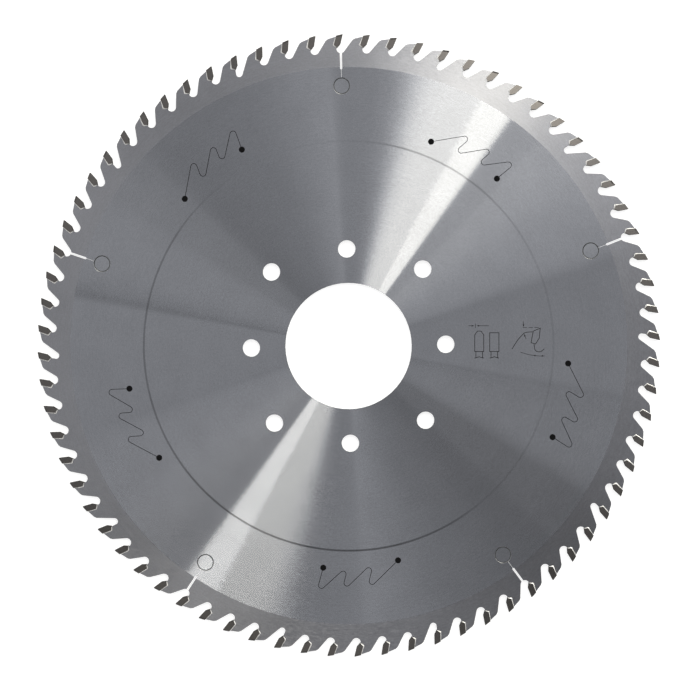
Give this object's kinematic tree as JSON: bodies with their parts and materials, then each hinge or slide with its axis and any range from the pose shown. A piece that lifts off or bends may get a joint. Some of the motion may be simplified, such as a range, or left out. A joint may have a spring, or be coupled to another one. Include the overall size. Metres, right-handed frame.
{
  "type": "carbide-tipped circular saw blade",
  "caption": "Flat round saw blade with carbide-tipped teeth, a plain central bore, driving-pin holes, and expansion slots that end in pressed plugs.",
  "frame": {"origin": "centre of the bore at half the plate's thickness", "axes": "+Z along the blade's axis, out of the face seen in the picture; +Y through the cutting edge of a high tooth; the teeth point clockwise seen from +Z"},
  "size_m": [0.32, 0.32, 0.0044],
  "materials": {
    "ground_steel": "ground in circles",
    "plug_steel": "ground flush",
    "carbide": "fine ground",
    "braze": "silver solder, as it froze",
    "resin": "damping filler",
    "engraving": "burnt marking"
  },
  "bodies": {
    "root": {"saw_plate": "ground_steel", "expansion_plug_1": "plug_steel", "expansion_plug_2": "plug_steel", "expansion_plug_3": "plug_steel", "expansion_plug_4": "plug_steel", "expansion_plug_5": "plug_steel", "bevelled_tips_segment_1": "carbide", "bevelled_tips_segment_2": "carbide", "bevelled_tips_segment_3": "carbide", "bevelled_tips_segment_4": "carbide", "bevelled_tips_segment_5": "carbide", "flat_tips_segment_1": "carbide", "flat_tips_segment_2": "carbide", "flat_tips_segment_3": "carbide", "flat_tips_segment_4": "carbide", "flat_tips_segment_5": "carbide"}
  },
  "joints": []
}
